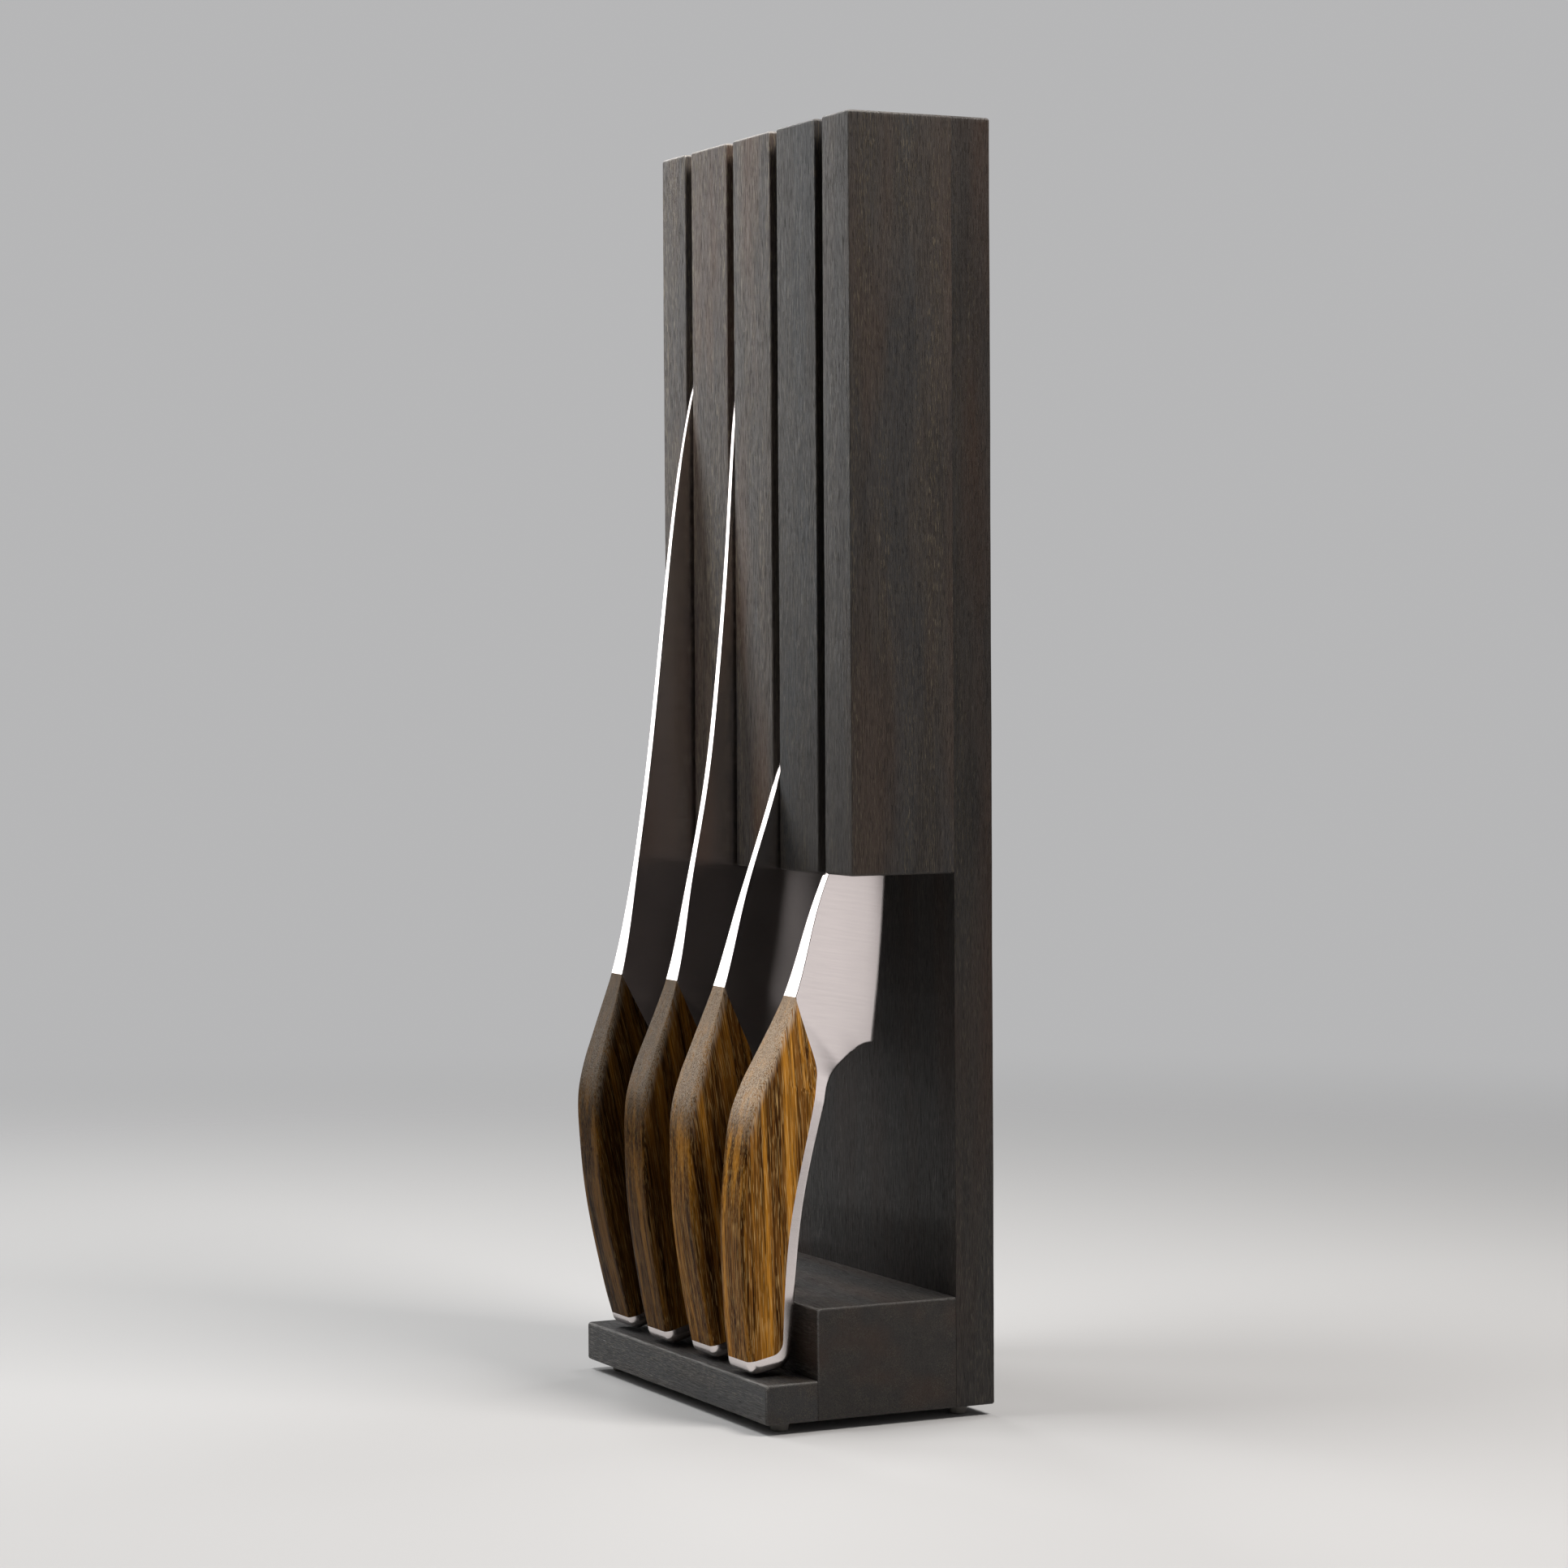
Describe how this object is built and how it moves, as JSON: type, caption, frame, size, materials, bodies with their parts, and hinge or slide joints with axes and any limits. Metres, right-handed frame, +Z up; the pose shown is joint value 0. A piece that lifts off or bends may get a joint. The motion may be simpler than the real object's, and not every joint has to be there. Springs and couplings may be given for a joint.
{
  "type": "knife block with knives",
  "caption": "Tall dark oak block with open-fronted slots that hold knives point up, their wooden handles standing on a ledge at the foot.",
  "frame": {"origin": "on the table, below the middle of the whole object's box", "axes": "+Z up along the block, +Y from the knives at the front to the back board, +X to the right as seen from the front"},
  "size_m": [0.143, 0.0926, 0.4235],
  "materials": {
    "dark_oak": "fumed and brushed oak, grain up the block",
    "dark_oak_cross": "fumed and brushed oak, grain across the block",
    "beech_dowel": "raw beech",
    "magnet": "plated magnet",
    "foot_rubber": "matt",
    "satin_steel": "satin stainless",
    "handle_oak": "oiled oak, grain along the handle"
  },
  "bodies": {
    "block": {"back_board": "dark_oak", "slat_1": "dark_oak", "slat_2": "dark_oak", "slat_3": "dark_oak", "slat_4": "dark_oak", "slat_5": "dark_oak", "step_block": "dark_oak_cross", "front_ledge": "dark_oak_cross", "slat_dowels": "beech_dowel", "step_dowels": "beech_dowel", "ledge_dowels": "beech_dowel", "slot_1_magnets": "magnet", "slot_2_magnets": "magnet", "slot_3_magnets": "magnet", "slot_4_magnets": "magnet", "foot_front_left": "foot_rubber", "foot_front_right": "foot_rubber", "foot_back_left": "foot_rubber", "foot_back_right": "foot_rubber"},
    "chef_knife": {"chef_knife_blade": "satin_steel", "chef_knife_handle": "handle_oak"},
    "slicing_knife": {"slicing_knife_blade": "satin_steel", "slicing_knife_handle": "handle_oak"},
    "utility_knife": {"utility_knife_blade": "satin_steel", "utility_knife_handle": "handle_oak"},
    "paring_knife": {"paring_knife_blade": "satin_steel", "paring_knife_handle": "handle_oak"}
  },
  "joints": [
    {"name": "chef_knife_draw", "type": "slide", "parent": "block", "child": "chef_knife", "axis": [0, -1, 0], "range_m": [0, 0.12]},
    {"name": "slicing_knife_draw", "type": "slide", "parent": "block", "child": "slicing_knife", "axis": [0, -1, 0], "range_m": [0, 0.12]},
    {"name": "utility_knife_draw", "type": "slide", "parent": "block", "child": "utility_knife", "axis": [0, -1, 0], "range_m": [0, 0.12]},
    {"name": "paring_knife_draw", "type": "slide", "parent": "block", "child": "paring_knife", "axis": [0, -1, 0], "range_m": [0, 0.12]}
  ]
}
